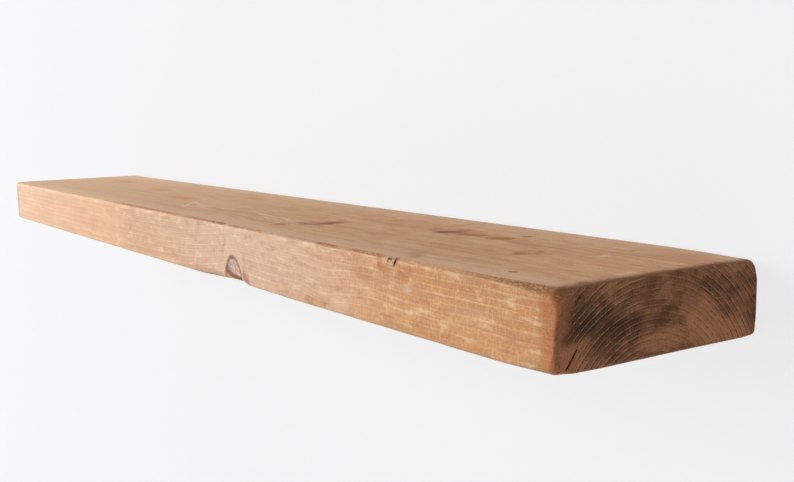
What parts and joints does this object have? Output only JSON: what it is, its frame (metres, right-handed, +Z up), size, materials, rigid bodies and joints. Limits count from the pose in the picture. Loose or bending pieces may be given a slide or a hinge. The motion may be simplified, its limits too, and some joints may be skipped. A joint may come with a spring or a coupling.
{
  "type": "floating shelf",
  "caption": "Floating wall shelf: a thick knotty softwood plank with sanded edges that pushes onto concealed steel rods fixed to the wall.",
  "frame": {"origin": "on the wall plane, at mid length, level with the board's underside", "axes": "+X along the board to the right as seen from the room, +Y into the wall, +Z up"},
  "size_m": [1.05, 0.213, 0.048],
  "materials": {
    "board_wood": "stained and waxed softwood, satin",
    "plate_steel": "zinc plated, dull",
    "rod_steel": "zinc plated, drawn bar",
    "bolt_steel": "black oxide, oiled",
    "screw_steel": "yellow passivated zinc",
    "plug_nylon": "moulded grey nylon, matt"
  },
  "bodies": {
    "wall_fixing": {"plate_left": "plate_steel", "plate_middle": "plate_steel", "plate_right": "plate_steel", "rod_left": "rod_steel", "rod_middle": "rod_steel", "rod_right": "rod_steel", "rod_bolt_left": "bolt_steel", "rod_bolt_middle": "bolt_steel", "rod_bolt_right": "bolt_steel", "wall_screw_left_1": "screw_steel", "wall_screw_left_2": "screw_steel", "wall_screw_middle_1": "screw_steel", "wall_screw_middle_2": "screw_steel", "wall_screw_right_1": "screw_steel", "wall_screw_right_2": "screw_steel", "wall_plug_left_1": "plug_nylon", "wall_plug_left_2": "plug_nylon", "wall_plug_middle_1": "plug_nylon", "wall_plug_middle_2": "plug_nylon", "wall_plug_right_1": "plug_nylon", "wall_plug_right_2": "plug_nylon"},
    "board": {"shelf_board": "board_wood"}
  },
  "joints": [
    {"name": "board_slide", "type": "slide", "parent": "wall_fixing", "child": "board", "axis": [0, -1, 0], "range_m": [0, 0.12]}
  ]
}
